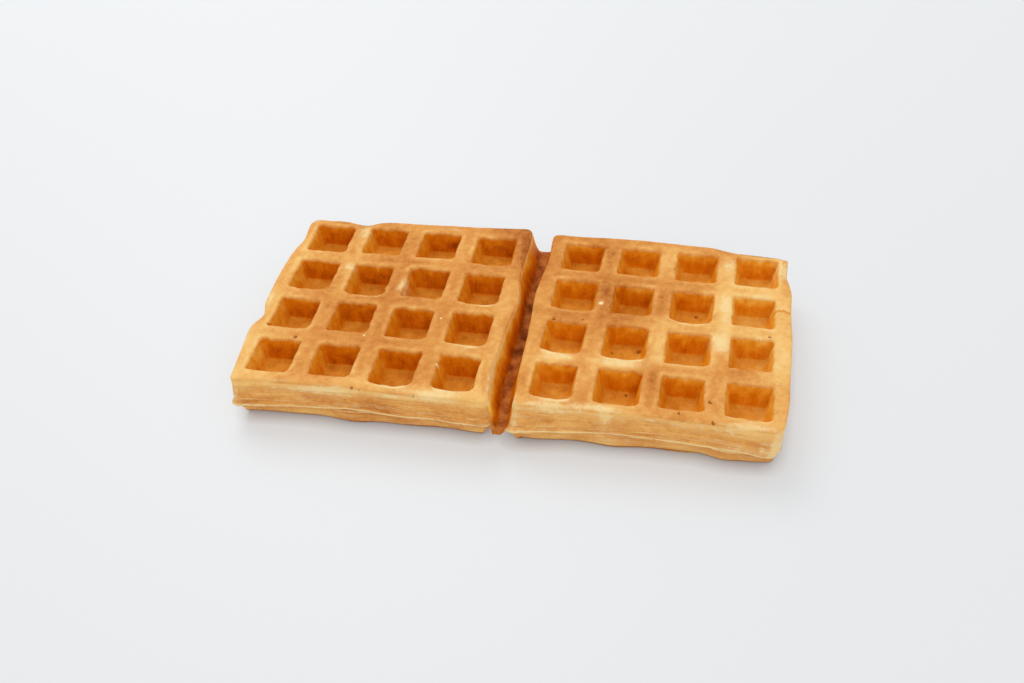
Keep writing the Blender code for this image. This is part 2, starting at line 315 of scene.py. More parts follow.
# The same on the front wall: (x, rise above the seam, half length, half height, how much)
WALL_BARE = (
    (-111, 5, 4, 9, 0.8),
    (-72, 10, 14, 2.4, 0.8),
    (-42, 11.5, 9, 2.0, 0.55),
    (-22, 12.2, 12, 2.0, 0.6),
    (7, 4, 2.2, 9, 0.8),
    (25, 12.6, 12, 2.0, 0.45),
    (43, 8, 2.2, 6, 0.7),
    (46, -5, 12, 2.5, 0.55),
    (74, -5.5, 14, 2.5, 0.5),
    (78, 9, 14, 2.4, 0.45),
    (100, 2, 18, 3, 0.7),
    (110, 4, 4, 7, 0.9),
)

# Noises over the whole crust: (size of its features, seed)
SLOW = (17 * MM, 51)
QUICK = (5 * MM, 52)
STREAKS = (11 * MM, 53)
STREAK_SQUASH = 7  # how much flatter than long the side wall's streaks are

# How brown the ridges are, from 0 to 1, and how far the noises and the lips move it
RIDGE_BROWN = 0.53
RIDGE_SLOW = 0.18
RIDGE_QUICK = 0.14
LIP_WIDTH = 1.5 * MM
LIP_PALER = 0.15
LIP_PALER_BASE = 0.6
LIP_PALER_QUICK = 2.2

# The same inside the pockets: of the walls facing front and back, kept darker as painted shade, of the other
# two, kept paler as painted light, and of the floors
FACING_WALL_BROWN_AND_SHADE = 0.68
RIGHT_INSIDE_PALER = 0.08
SIDE_WALL_BROWN_AND_LIGHT = 0.34
RIGHT_WALL_SHADE = 0.06
SIDEWAYS = (0.7, 1.1)  # along over across: a side wall up to the first, none from the second on
BOTTOM_BROWN = 0.38
BOTTOM_SHARE = 0.9
INSIDE_ZONES = 0.7
RIGHT_SQUARE_PALER = 0.1
INSIDE_QUICK = 0.16
INSIDE_SLOW = 0.1
INSIDE_SHARES = (0.04, 0.2)  # the ridge's brown up to the first share of the depth

# The golden drips on the pockets' far walls
GILDED_SHARES = (0.1, 0.55)
GILDED_BASE = 0.2
GILDED_QUICK = 1.8
GILDED_RIGHT = 0.3
GILDED_PALER = 0.4

# How brown the side wall is, and how much paler at its rim and its foot
WALL_BROWN = 0.54
WALL_SLOW = 0.2
WALL_STREAKS = 0.16
RIM_PALER = 0.22
RIM_BAND = (12, 3.5)  # its middle and half width, in mm above the seam
RIGHT_WALL_PALER = 0.03
FOOT_PALER = 0.1
FOOT_BAND = (-8, -2)  # full up to the first, none from the second on

# How brown the groove is from its lips down to the web, browner downwards as painted shade on top of its
# browning, and the web's ends
GROOVE_BROWN_AND_SHADE = 0.95
GROOVE_POWER = 1.4
GROOVE_PALER = 0.03
BACK_BROWNER = 0.28
BACK_BAND = (-30, 30)  # in mm to the front: full up to the first, none from the second on
GROOVE_QUICK = 0.25
WEB_BROWN_AND_SHADE = 0.84
WEB_QUICK = 0.3
END_BROWN = 0.88
END_PALER = 0.34
END_STEPS = (1.0, 2.6)
END_QUICK = 0.4
END_CORNER_BROWN = 0.42
GROOVE_DEEP = 0.85  # how deep in a pocket the groove's walls count as
WEB_SHARE = 0.97

# How bare of crust the dough is: the two tables above, the pockets' front lips, pale dough with a painted
# highlight, and the torn wall
TOP_BARE = 0.85
UPPER_WALL_BARE = 0.45
UPPER_WALL = 7  # mm above the seam
FRONT_WALL = (-51, -45)
LIP_MARK = 0.5
SAGGED_MARK = 0.4
SAGGED_OUT = 0.3
LIP_ENDS = (7.5, 9.5)
LIP_DOUGH_AND_HIGHLIGHT = 0.45
SAGGED_DOUGH_AND_HIGHLIGHT = 0.3
LIP_HIGHLIGHT_QUICK = 0.9
LIP_HIGHLIGHT_SLOW = 0.5
TORN_NOISE = 0.5
TORN_BASE = 0.2
TORN_LEAST = 0.2
TORN_BAND = (11, 2.5)  # its middle and half width, in mm above the seam
MOST_BARE = 1.5

# The crust's colours from palest to brownest, as sRGB bytes
CRUST_COLOURS = (
    (0.0, (252, 214, 146)),
    (0.25, (247, 193, 112)),
    (0.5, (229, 158, 80)),
    (0.7, (208, 131, 58)),
    (0.88, (172, 94, 34)),
    (1.0, (122, 61, 14)),
)
INSIDE_COLOURS = (
    (0.0, (252, 198, 84)),
    (0.25, (241, 163, 40)),
    (0.5, (226, 132, 6)),
    (0.75, (204, 106, 1)),
    (1.0, (156, 68, 2)),
)
BOTTOM_COLOURS = (
    (0.0, (250, 196, 96)),
    (0.3, (238, 162, 52)),
    (0.6, (212, 125, 24)),
    (1.0, (148, 70, 8)),
)
BARE_COLOUR = (255, 228, 166)
# The colour of painted shade: in pits, bubble holes, the side wall's crevice and creases, and at its foot
PAINTED_SHADE_COLOUR = (158, 76, 20)
CRACK_COLOUR = (226, 140, 34)
# The floor's glow, dimmed near the waffle as a painted contact shadow
FLOOR_GLOW_STRENGTH = 0.5
CONTACT_SHADOW_REACH = 7.0 * MM  # how near the waffle dims the floor's glow

# Noises of the crust's material: (size, detail, roughness), and how its place is stretched
MOTTLE = (2.8 * MM, 4.0, 0.65)
FINE = (0.8 * MM, 3.0, 0.65)
LAYERS = (6 * MM, 5.0, 0.7)
LAYERS_STRETCH = (0.4, 0.4, 5)
DRIPS = (3.0 * MM, 3.0, 0.6)
DRIPS_STRETCH = (1, 1, 0.3)
TORN = (7 * MM, 3.0, 0.6)
TORN_STRETCH = (1, 1, 0.5)
TORN_FROM = (0.4, 0.6)

# How far those noises move the brown, and where the pockets' colours begin
BROWN_MOTTLE = 0.26
BROWN_FINE = 0.12
BROWN_LAYERS = 0.5
INSIDE_DRIPS = 0.32
BOTTOM_DRIPS = 0.2
EDGE_MOTTLE = 0.1
INSIDE_FROM = (0.04, 0.17)
BOTTOM_FROM = (0.92, 0.99)
BUBBLES_FROM = (0.9, 0.98)

# Bare dough's broken edges, and how strong each kind of mark is
BARE_MOTTLE = 0.9
BARE_FINE = 0.35
BARE_LAYERS = 0.9
BARE_FROM = (0.3, 1.1)
BARE_WITHIN = (0.05, 0.35)
BARE_STRENGTH = 0.72
LINE_AND_SHADE_STRENGTH = 0.85
CRACK_STRENGTH = 0.8
PIT_SHADE_STRENGTH = 0.8

# Lines along the side wall: (mm above the seam, half width in mm, strength where torn)
LINES_SWAY = 0.7
PALE_LINE = (0.3, 0.28)
TORN_PALE_LINES = ((-1.7, 0.3, 1.0), (2.6, 0.25, 0.5))
# The dark lines are painted shade: in the crevice under the seam and in the torn creases
CREVICE_SHADE_LINE = (-0.5, 0.34)
TORN_CREASE_SHADES = ((9.0, 0.22, 0.4), (1.9, 0.2, 0.35))
STREAKS_FROM = (0.54, 0.66)
STREAK_STRENGTH = 0.5
LINES_FROM = (0.25, 0.45)
# Painted contact shade at the foot of the wall, where it meets the floor
FOOT_SHADE_FROM = (-7.6, -8.6)  # the dark foot, by which the wall meets the floor

# Round marks: how ragged they are, where they fade in shares of their radius, and how high they lie
DOT_NOISE = (0.9 * MM, 2.0, 0.55)
DOT_RAGGED = 0.9 * MM
DOT_EDGE = (1.25, 0.7)
DOTS_ABOVE = (10.5 * MM, 11.5 * MM)

# The crust's surface
ROUGHNESS = 0.62
DEEP_SMOOTHER = -0.2
CRUST_SURFACE = {
    "Specular IOR Level": 0.08,
    "Subsurface Weight": 0.12,
    "Subsurface Radius": (1.0, 0.5, 0.2),
    "Subsurface Scale": 1.6 * MM,
}
MOTTLE_RELIEF = 1.2
FINE_RELIEF = 0.8
LAYERS_RELIEF = 0.8
BUMP_STRENGTH = 0.7
BUMP_DISTANCE = 0.45 * MM

# The colour sockets of a Mix node
MIX_INPUTS = (0, 6, 7)
MIX_OUTPUT = 2

# The floor and the light. Each lamp: (name, place, target, width, watts)
FLOOR_HALF = 4.0
FLOOR_COLOURS = {"Base Color": (167, 168, 170), "Emission Color": (234, 237, 238)}
FLOOR_SURFACE = {"Roughness": 0.5, "Specular IOR Level": 0.4}
CONTACT_SHADOW_SAMPLES = 4
SKY_COLOUR = (0.985, 0.992, 1.0, 1.0)
SKY_STRENGTH = 0.69
LAMPS = (
    ("key", (-0.5, 0.8, 1.1), (-0.1, 0.3, 0), 1.0, 7.6),
    ("fill", (0.9, -1.8, 1.35), (0, 0, 0), 2.1, 10.8),
)

# The camera, found by fitting one to the corners of all the pockets
CAMERA_PLACE = Vector((69.92, -305.67, 310.3)) * MM
CAMERA_TARGET = Vector((-4.94, 3.88, 0.0)) * MM
CAMERA_ROLL = math.radians(-4.292)
CAMERA_LENS = 35.0
SENSOR = 36.0
CLIP_START = 0.01


def fade(value, full, none):
    """1 up to full, 0 from none on, and a smooth step between."""
    share = np.clip((none - value) / (none - full), 0, 1)
    return share * share * (3 - 2 * share)


def bell(value, middle, half_width):
    return np.exp(-(((value - middle) / half_width) ** 2))


def field(x, y, z, size, seed):
    """Blender's noise at each place, with features about this size."""
    places = np.stack(np.broadcast_arrays(x, y, z), axis=-1) / size + (0, 0, seed)
    values = [noise.noise(place) for place in places.reshape(-1, 3).tolist()]
    return np.array(values).reshape(places.shape[:-1])


def pocket_middle(number):
    return (number - (POCKETS - 1) / 2) * PITCH


def square_lines():
    """Where the lattice's lines cross one square, from its middle."""
    half = [reach * MM for reach in PROFILE_REACH]
    lines = [-line for line in reversed(RIM_LINES)]
    lines.append(pocket_middle(0) - half[-1])
    for number in range(POCKETS):
        lines += [pocket_middle(number) - reach for reach in reversed(half[1:-1])]
        lines += [pocket_middle(number) + reach for reach in half]
    return np.array([*lines, *RIM_LINES])


def pocket_traits(square, face):
    """Each pocket's shift, swelling, extra depth and bowed front lip, by column and row."""
    traits = np.zeros((5, POCKETS, POCKETS))
    for column in range(POCKETS):
        for row in range(POCKETS):
            draw = random.Random(f"{SEED} {square} {face} {column} {row}")
            shift_x = draw.uniform(-1, 1) * POCKET_SHIFT
            shift_y = draw.uniform(-1, 1) * POCKET_SHIFT
            swell = draw.uniform(-1, 1) * POCKET_SWELL
            deeper = draw.uniform(-1, 1) * DEPTH_SPREAD
            sagged = face == "top" and (column, row) in SAGGED[square]
            bow = SAGGED_BOW if sagged else LIP_BOW * draw.uniform(0, 2)
            traits[:, column, row] = shift_x, shift_y, swell, deeper, bow
    return traits


def rounded(across, along, straight):
    """Pulls a square's corner onto an arc. straight is where the arc begins."""
    over_across = np.maximum(np.abs(across) - straight, 0)
    over_along = np.maximum(np.abs(along) - straight, 0)
    both = (over_across > 0) & (over_along > 0)
    longest = np.maximum(over_across, over_along)
    pull = np.where(both, longest / np.maximum(np.hypot(over_across, over_along), TINY), 1)
    new_across = np.sign(across) * (straight + over_across * pull)
    new_along = np.sign(along) * (straight + over_along * pull)
    return np.where(both, new_across, across), np.where(both, new_along, along)


def corner_radius(square, u):
    return np.where((square == "right") & (u > 0), END_CORNER, RIM_CORNER)


def outward(square, u, v):
    """The way the square's edge faces beside each of its points."""
    ring = np.maximum(np.abs(u), np.abs(v))
    straight = ring - corner_radius(square, u)
    over_u = np.maximum(np.abs(u) - straight, 0)
    over_v = np.maximum(np.abs(v) - straight, 0)
    length = np.maximum(np.hypot(over_u, over_v), TINY)
    return np.copysign(over_u / length, u), np.copysign(over_v / length, v)


def rim_dents(square, u, v):
    """How far dents move each point of a square, and how far they lower it."""
    move_x, move_y, drop = np.zeros_like(u), np.zeros_like(u), np.zeros_like(u)
    for side, (out_x, out_y) in SIDES.items():
        for dent in DENTS[(square, side)]:
            place, half_width, inward, lower = (size * MM for size in dent)
            weight = 1 - fade(out_x * u + out_y * v, DENTED_FROM, DENTED_FULL)
            weight = weight * bell(v if out_x else u, place, half_width)
            move_x -= out_x * inward * weight
            move_y -= out_y * inward * weight
            drop += lower * weight
    return move_x, move_y, drop


def bulges(table, square, u, v, normal_x, normal_y):
    """How far a table's bulges push out the wall where it faces along the normal."""
    total = np.zeros_like(u)
    for bulged, side, *sizes in table:
        if bulged == square:
            place, half_width, out = (size * MM for size in sizes)
            out_x, out_y = SIDES[side]
            facing = np.maximum(normal_x * out_x + normal_y * out_y, 0)
            total += out * facing * bell(v if out_x else u, place, half_width)
    return total


def sway(square, u, v, height):
    """The slow wandering of the whole surface."""
    seed = SWAY_SEEDS[square]
    return [field(u, v, height, SWAY_LENGTH, seed + AXIS_SEEDS * axis) * SWAY for axis in range(3)]


def square_to_waffle(square, x, y, height):
    """From a square's own plane to the waffle's frame, before it is centred."""
    if square == "left":
        return np.stack(np.broadcast_arrays(x - BETWEEN_MIDDLES / 2, y, height), axis=-1)
    turn = np.array(Matrix.Rotation(RIGHT_TURN, 2)) * RIGHT_SHRINK
    turned_x = turn[0, 0] * x + turn[0, 1] * y + BETWEEN_MIDDLES / 2
    return np.stack(np.broadcast_arrays(turned_x, turn[1, 0] * x + turn[1, 1] * y, height), axis=-1)


def in_pocket(square, face, u, v):
    """Where points of the plain square go once the pockets are shaped, and what they are there."""
    column = np.clip(np.round(u / PITCH + (POCKETS - 1) / 2), 0, POCKETS - 1).astype(int)
    row = np.clip(np.round((POCKETS - 1) / 2 - v / PITCH), 0, POCKETS - 1).astype(int)
    across, along = u - pocket_middle(column), v + pocket_middle(row)
    reach = np.maximum(np.abs(across), np.abs(along))
    shift_x, shift_y, swell, deeper, bow = pocket_traits(square, face)[:, column, row]
    held = fade(reach, RIDGE_HALF, PITCH / 2)
    share = np.interp(reach, np.array(PROFILE_REACH) * MM, PROFILE_SHARE)
    depth = share * ((TOP_DEPTH if face == "top" else UNDER_DEPTH) + deeper)
    near = (across > 0) & (along < 0)
    arc_across, arc_along = rounded(across, along, LIP_HALF - np.where(near, NEAR_CORNER, POCKET_CORNER))
    moved_x = arc_across - across + shift_x + across * swell / LIP_HALF
    moved_y = arc_along - along + shift_y + along * swell / LIP_HALF
    bowed = bow * (along / LIP_HALF) ** 2 * np.maximum(0, 1 - (across / RIDGE_HALF) ** 2)
    moved_y -= np.where(along < 0, bowed, 0)
    size, ragged = RAGGED_LIPS
    wobble = field(u, v, 0, size, RAGGED_SEEDS[square]) * ragged * bell(reach, LIP_HALF, RAGGED_WIDTH)
    wobble *= np.where(along > np.abs(across), FAR_LIP_SHARE, 1)
    sideways = np.abs(across) > np.abs(along)
    moved_x += np.where(sideways, np.sign(across) * wobble, 0)
    moved_y += np.where(sideways, 0, np.sign(along) * wobble)
    facts = {"share": share, "across": across, "along": along, "column": column, "row": row}
    return u + moved_x * held, v + moved_y * held, depth, facts


def rim_roll(u, v):
    """How far the rounded rim lies below the ridges."""
    share = np.clip((np.maximum(np.abs(u), np.abs(v)) - RIM_FLAT) / (RIM_HALF - RIM_FLAT), 0, 1)
    return RIM_DROP * (1 - np.sqrt(1 - share * share))


def square_sheet(square, face, lines):
    """The top or the underside of a square as a grid of places, and what each point is."""
    u, v = np.meshgrid(lines, lines, indexing="ij")
    x, y, depth, facts = in_pocket(square, face, u, v)
    x, y = rounded(x, y, RIM_HALF - corner_radius(square, u))
    move_x, move_y, drop = rim_dents(square, u, v)
    x, y = x + move_x, y + move_y
    depth = depth + rim_roll(u, v)
    if face == "top":
        height = THICKNESS - depth
    else:
        height = depth
        inset = 1 - fade(np.maximum(np.abs(u), np.abs(v)), DENTED_FROM, DENTED_FULL)
        normal_x, normal_y = outward(square, u, v)
        reach = (WALL[0][1] + bulges(BASE_BULGES, square, u, v, normal_x, normal_y)) * inset
        x, y = x + normal_x * reach, y + normal_y * reach
    loose_x, loose_y, loose_z = sway(square, u, v, height)
    if face == "top":
        height = height + loose_z - drop
    return square_to_waffle(square, x + loose_x, y + loose_y, height), facts


def square_wall(square, u, v, step):
    """A ring of places round the side of a square, this many steps up its wall."""
    x, y = rounded(u, v, RIM_HALF - corner_radius(square, u))
    move_x, move_y, drop = rim_dents(square, u, v)
    normal_x, normal_y = outward(square, u, v)
    flare = bulges(FLARES, square, u, v, normal_x, normal_y)
    bulge = bulges(BASE_BULGES, square, u, v, normal_x, normal_y)
    levels = []
    for level, (height, reach) in enumerate(WALL):
        out = reach + FLARE_SHARES[level] * flare + BASE_SHARES[level] * bulge
        up = np.full_like(u, height)
        if 0 < level < TOP:
            seed = LEVEL_SEEDS * level + SEAM_SEEDS[square]
            up += field(u, v, 0, SEAM_LENGTH, seed) * SEAM_SWAY
            shifted = SEAM_APART * SEAM_LENGTH
            out += field(u + shifted, v + shifted, shifted, SEAM_LENGTH, seed) * SEAM_SWAY
        levels.append((up, out))
    below = min(int(step), TOP - 1)
    part = step - below
    height = levels[below][0] * (1 - part) + levels[below + 1][0] * part
    out = levels[below][1] * (1 - part) + levels[below + 1][1] * part
    out = out + seam_flake(square, u, v, step)
    loose_x, loose_y, loose_z = sway(square, u, v, height)
    if step == TOP:
        height = height + loose_z - drop
    x = x + move_x + normal_x * out + loose_x
    y = y + move_y + normal_y * out + loose_y
    return square_to_waffle(square, x, y, height), height - levels[2][0]


def seam_flake(square, u, v, step):
    """The thin lip of crust that stands out along the seam, and the crevice under it."""
    torn = FLAKE_TORN + field(u, v, 0, FLAKE_LENGTH, FLAKE_SEEDS[square])
    reach = bell(step, *FLAKE_AT) * FLAKE_REACH * torn
    least, added = CREVICE_TORN
    return reach - bell(step, *CREVICE_AT) * CREVICE * (least + added * torn)


def between(left, right, v, height_mid):
    """The columns of the groove's walls and the web, from one square's edge to the other's."""
    middle = (left + right) / 2
    reach = np.where(v < 0, -WEB_FRONT, WEB_BACK)
    middle[:, 1] += (1 - fade(np.abs(v), WEB_END_FROM, RIM_HALF)) * reach
    columns = []
    for side, edge in ((-1, left), (1, right)):
        foot = middle.copy()
        foot[:, 0] += side * WEB_HALF
        foot[:, 2] = height_mid
        wall = []
        for across, down in zip(GROOVE_ACROSS, GROOVE_DOWN):
            place = edge * (1 - across) + foot * across
            place[:, 2] = edge[:, 2] * (1 - down) + foot[:, 2] * down
            wall.append(place)
        columns.append(wall)
    web = []
    for share in WEB_LINES:
        place = middle.copy()
        place[:, 0] += share * WEB_HALF
        place[:, 2] = height_mid
        web.append(place)
    return np.stack([*columns[0], *web, *reversed(columns[1])])


def whole_sheet(face, lines):
    """The whole top or underside, left square to right, and each point's facts."""
    left, left_facts = square_sheet("left", face, lines)
    right, right_facts = square_sheet("right", face, lines)
    web_height = WEB_TOP if face == "top" else WEB_UNDER
    middle = between(left[-1], right[0], lines, web_height)
    facts = {}
    for name, values in left_facts.items():
        gap = np.zeros((len(middle), len(lines)))
        facts[name] = np.concatenate([values, gap, right_facts[name]])
    return np.concatenate([left, middle, right]), facts


def step_height(step):
    return np.interp(step, range(len(WALL)), [height for height, _ in WALL])


def ring_indices(columns, rows):
    """The lattice's border, once round from its front left corner."""
    front = [(i, 0) for i in range(columns - 1)]
    right = [(columns - 1, j) for j in range(rows - 1)]
    back = [(i, rows - 1) for i in range(columns - 1, 0, -1)]
    left = [(0, j) for j in range(rows - 1, 0, -1)]
    return np.array(front + right + back + left)


def wall_ring(ring, lines, middle_columns, step):
    """The places of the lattice's border, this many steps up the side wall."""
    count = len(lines)
    places = np.zeros((len(ring), 3))
    rises = np.full(len(ring), step_height(step) - SEAM_HEIGHT)
    for square, first in (("left", 0), ("right", count + middle_columns)):
        mine = (ring[:, 0] >= first) & (ring[:, 0] < first + count)
        u, v = lines[ring[mine, 0] - first], lines[ring[mine, 1]]
        places[mine], rises[mine] = square_wall(square, u, v, step)
    web_height = WEB_UNDER + (WEB_TOP - WEB_UNDER) * step / TOP
    at = {tuple(pair): number for number, pair in enumerate(ring.tolist())}
    for row, v in ((0, lines[0]), (count - 1, lines[-1])):
        left = places[at[(count - 1, row)]][None].copy()
        right = places[at[(count + middle_columns, row)]][None].copy()
        strip = between(left, right, np.array([v]), web_height)
        for offset, place in enumerate(strip[:, 0]):
            places[at[(count + offset, row)]] = place
    return places, rises


def coarse_cell(i, j, last_i, last_j):
    """The lattice points round one cell of two by two squares, with those half way on the border."""
    corners = [(i, j), (i + 2, j), (i + 2, j + 2), (i, j + 2)]
    halfway = [(i + 1, j), (i + 2, j + 1), (i + 1, j + 2), (i, j + 1)]
    on_border = [j == 0, i + 2 == last_i, j + 2 == last_j, i == 0]
    outline = []
    for corner, half, kept in zip(corners, halfway, on_border):
        outline.append(corner)
        if kept:
            outline.append(half)
    return outline


class Crust:
    """The waffle's surface: its points, its faces, and what the browning needs to know."""

    def __init__(self):
        lines = square_lines()
        top, top_facts = whole_sheet("top", lines)
        under, under_facts = whole_sheet("under", lines)
        columns, rows = top.shape[:2]
        middle_columns = columns - 2 * len(lines)
        ring = ring_indices(columns, rows)
        walls = [wall_ring(ring, lines, middle_columns, step) for step in WALL_STEPS[:-1]]
        rings = [places for places, _ in walls]
        self.rises = np.concatenate([rises for _, rises in walls])
        inner_i = np.arange(2, columns - 1, 2)
        inner_j = np.arange(2, rows - 1, 2)
        inner = under[np.ix_(inner_i, inner_j)]
        self.points = np.concatenate([top.reshape(-1, 3), *rings, inner.reshape(-1, 3)])
        self.faces = []
        self.add_top(columns, rows)
        self.add_sides(ring, columns, rows)
        self.add_underside(ring, columns, rows, inner_i, inner_j)
        self.collect(top_facts, under_facts, ring, inner_i, inner_j, lines, columns, rows)

    def add_top(self, columns, rows):
        for i in range(columns - 1):
            for j in range(rows - 1):
                first = i * rows + j
                self.faces.append((first, first + rows, first + rows + 1, first + 1))

    def add_sides(self, ring, columns, rows):
        count = len(ring)
        start = columns * rows
        levels = [start + level * count + np.arange(count) for level in range(len(WALL_STEPS) - 1)]
        levels.append(ring[:, 0] * rows + ring[:, 1])
        for lower, upper in zip(levels, levels[1:]):
            for here in range(count):
                there = (here + 1) % count
                self.faces.append((int(lower[here]), int(lower[there]), int(upper[there]), int(upper[here])))

    def add_underside(self, ring, columns, rows, inner_i, inner_j):
        start = columns * rows
        number = {tuple(pair): start + at for at, pair in enumerate(ring.tolist())}
        start += (len(WALL_STEPS) - 1) * len(ring)
        for at_i, i in enumerate(inner_i):
            for at_j, j in enumerate(inner_j):
                number[(int(i), int(j))] = start + at_i * len(inner_j) + at_j
        for i in range(0, columns - 1, 2):
            for j in range(0, rows - 1, 2):
                outline = coarse_cell(i, j, columns - 1, rows - 1)
                self.faces.append(tuple(number[pair] for pair in reversed(outline)))

    def collect(self, top_facts, under_facts, ring, inner_i, inner_j, lines, columns, rows):
        """Joins the facts of all points: pocket depth share, wall step, groove share and so on."""
        count = len(lines)
        steps = np.repeat(WALL_STEPS[:-1], len(ring))
        tops = columns * rows
        inner = len(inner_i) * len(inner_j)
        picked = np.ix_(inner_i, inner_j)
        self.facts = {}
        for name in top_facts:
            under = under_facts[name][picked].ravel()
            self.facts[name] = np.concatenate([top_facts[name].ravel(), np.zeros(len(steps)), under])
        self.facts["step"] = np.concatenate([np.full(tops, -1.0), steps, np.full(inner, -1.0)])
        above = THICKNESS - SEAM_HEIGHT
        rise = [np.full(tops, above), self.rises, np.full(inner, -SEAM_HEIGHT)]
        self.facts["rise"] = np.concatenate(rise)
        self.facts["part"] = np.concatenate([np.full(tops, 1), np.full(len(steps), 0), np.full(inner, -1)])
        groove = np.zeros(columns)
        groove[count : columns - count] = [*GROOVE_DOWN, *[1.0] * len(WEB_LINES), *reversed(GROOVE_DOWN)]
        by_ring = np.tile(groove[ring[:, 0]], len(WALL_STEPS) - 1)
        of_top = np.repeat(groove, rows)
        of_inner = np.repeat(groove[inner_i], len(inner_j))
        self.facts["groove"] = np.concatenate([of_top, by_ring, of_inner])

    def centre(self, low, high):
        """Moves the waffle across the floor so that its box shares its middle with the CAD part's in x and y.
        """
        middle = (self.points.min(0) + self.points.max(0)) / 2
        wanted = (np.array(low) + np.array(high)) / 2
        self.points[:, :2] += (wanted - middle)[:2]

    def normals(self):
        """The way the crust faces at each point. Its faces have from 4 to 6 corners."""
        total = np.zeros_like(self.points)
        for size in (4, 5, 6):
            faces = np.array([face for face in self.faces if len(face) == size], dtype=int)
            across = self.points[faces[:, 2]] - self.points[faces[:, 0]]
            along = self.points[faces[:, 3]] - self.points[faces[:, 1]]
            normal = np.cross(across, along)
            for corner in range(size):
                np.add.at(total, faces[:, corner], normal)
        return total / np.maximum(np.linalg.norm(total, axis=1, keepdims=True), TINY)

    def roughen(self):
        """Moves the points along their normals for the crust's grain and its pits."""
        x, y, z = self.points.T
        normals = self.normals()
        part = self.facts["part"]
        resting = (part < 0) | ((part == 0) & (self.facts["step"] < RESTING_STEPS))
        size, height = CRUST_WAVES
        move = field(x, y, z, size, WAVES_SEED) * height
        size, height = CRUST_GRAIN
        move += field(x, y, z, size, GRAIN_SEED) * height
        move[resting] = np.minimum(move[resting], 0)
        for pit_x, pit_y, radius, depth in PITS:
            off = np.hypot(x - pit_x * MM, y - pit_y * MM) / (radius * MM)
            move -= np.where(part == 1, np.exp(-(off**4)) * depth * MM, 0)
        self.points += normals * move[:, None]
        self.points[:, 2] = np.maximum(self.points[:, 2], 0)


def spots(x, y, table):
    """The sum of a table's soft ellipses at each place."""
    total = np.zeros_like(x)
    for spot_x, spot_y, half_length, half_width, amount in table:
        off = ((x / MM - spot_x) / half_length) ** 2 + ((y / MM - spot_y) / half_width) ** 2
        total += amount * np.exp(-off)
    return total


def sagged_at(x, facts):
    """1 where a point's pocket has a sagged front lip."""
    found = np.zeros_like(x)
    for square, pockets in SAGGED.items():
        here = x < 0 if square == "left" else x > 0
        for column, row in pockets:
            found[here & (facts["column"] == column) & (facts["row"] == row)] = 1
    return found


def ridge_brown(crust, zones, quick, slow):
    """How brown the ridges and rims are, with paler lips round the pockets."""
    reach = np.maximum(np.abs(crust.facts["across"]), np.abs(crust.facts["along"]))
    lip = bell(reach, RIDGE_HALF, LIP_WIDTH) * (crust.facts["part"] == 1)
    paler = LIP_PALER * lip * (LIP_PALER_BASE + LIP_PALER_QUICK * quick)
    return RIDGE_BROWN + zones + RIDGE_SLOW * slow + RIDGE_QUICK * quick - paler


def inside_brown(crust, zones, quick, slow):
    """How brown the walls and floors of the pockets are, with the walls facing front and back painted darker
    than the side walls as painted shade.
    """
    share, across, along = crust.facts["share"], crust.facts["across"], crust.facts["along"]
    right = crust.points[:, 0] > 0
    least, most = SIDEWAYS
    # Painted shade and light by facing: side walls paler, those on a pocket's right a little browner, walls
    # facing front and back browner
    sideways = fade(np.abs(along), least * np.abs(across), most * np.abs(across) + MM)
    side = SIDE_WALL_BROWN_AND_LIGHT + RIGHT_WALL_SHADE * (across > 0)
    inside = (FACING_WALL_BROWN_AND_SHADE - RIGHT_INSIDE_PALER * right) * (1 - sideways) + side * sideways
    inside = np.where(share > BOTTOM_SHARE, BOTTOM_BROWN, inside) + INSIDE_ZONES * zones
    inside = inside - RIGHT_SQUARE_PALER * right + INSIDE_QUICK * quick + INSIDE_SLOW * slow
    gilded = fade(share, *GILDED_SHARES) * (1 - sideways) * (along > 0)
    gilded = gilded * (GILDED_BASE + GILDED_QUICK * quick + GILDED_RIGHT * right)
    return inside - GILDED_PALER * np.maximum(gilded, 0)


def wall_brown(crust, slow, streaks):
    """How brown the side wall is, with a paler rim and a paler foot."""
    rise, right = crust.facts["rise"] / MM, crust.points[:, 0] > 0
    paler = RIM_PALER * bell(rise, *RIM_BAND) + RIGHT_WALL_PALER * right + FOOT_PALER * fade(rise, *FOOT_BAND)
    return WALL_BROWN + WALL_SLOW * slow + WALL_STREAKS * streaks - paler


def groove_brown_and_shade(crust, quick):
    """How brown the groove is, from its lips down to the web, browner downwards as painted shade on top of
    its browning, and the web's ends.
    """
    groove, y = crust.facts["groove"], crust.points[:, 1]
    back = BACK_BROWNER * fade(-y / MM, *BACK_BAND) * (1 - groove)
    # Browner down towards the web: painted shade in the groove
    down = GROOVE_BROWN_AND_SHADE * groove**GROOVE_POWER - GROOVE_PALER + back + GROOVE_QUICK * quick
    down = np.minimum(down, WEB_BROWN_AND_SHADE + WEB_QUICK * quick)
    end = END_BROWN - END_PALER * fade(crust.facts["step"], *END_STEPS) + END_QUICK * quick
    end = end * groove + END_CORNER_BROWN * (1 - groove)
    return np.where(crust.facts["part"] == 0, end, down)


def how_brown(crust, wall, quick, slow, streaks):
    x, y, _ = crust.points.T
    zones = spots(x, y, BROWNED)
    brown = ridge_brown(crust, zones, quick, slow)
    inside = inside_brown(crust, zones, quick, slow)
    brown += (inside - brown) * (1 - fade(crust.facts["share"], *INSIDE_SHARES))
    brown = np.where(wall, wall_brown(crust, slow, streaks), brown)
    return np.where(crust.facts["groove"] > 0, groove_brown_and_shade(crust, quick), brown)


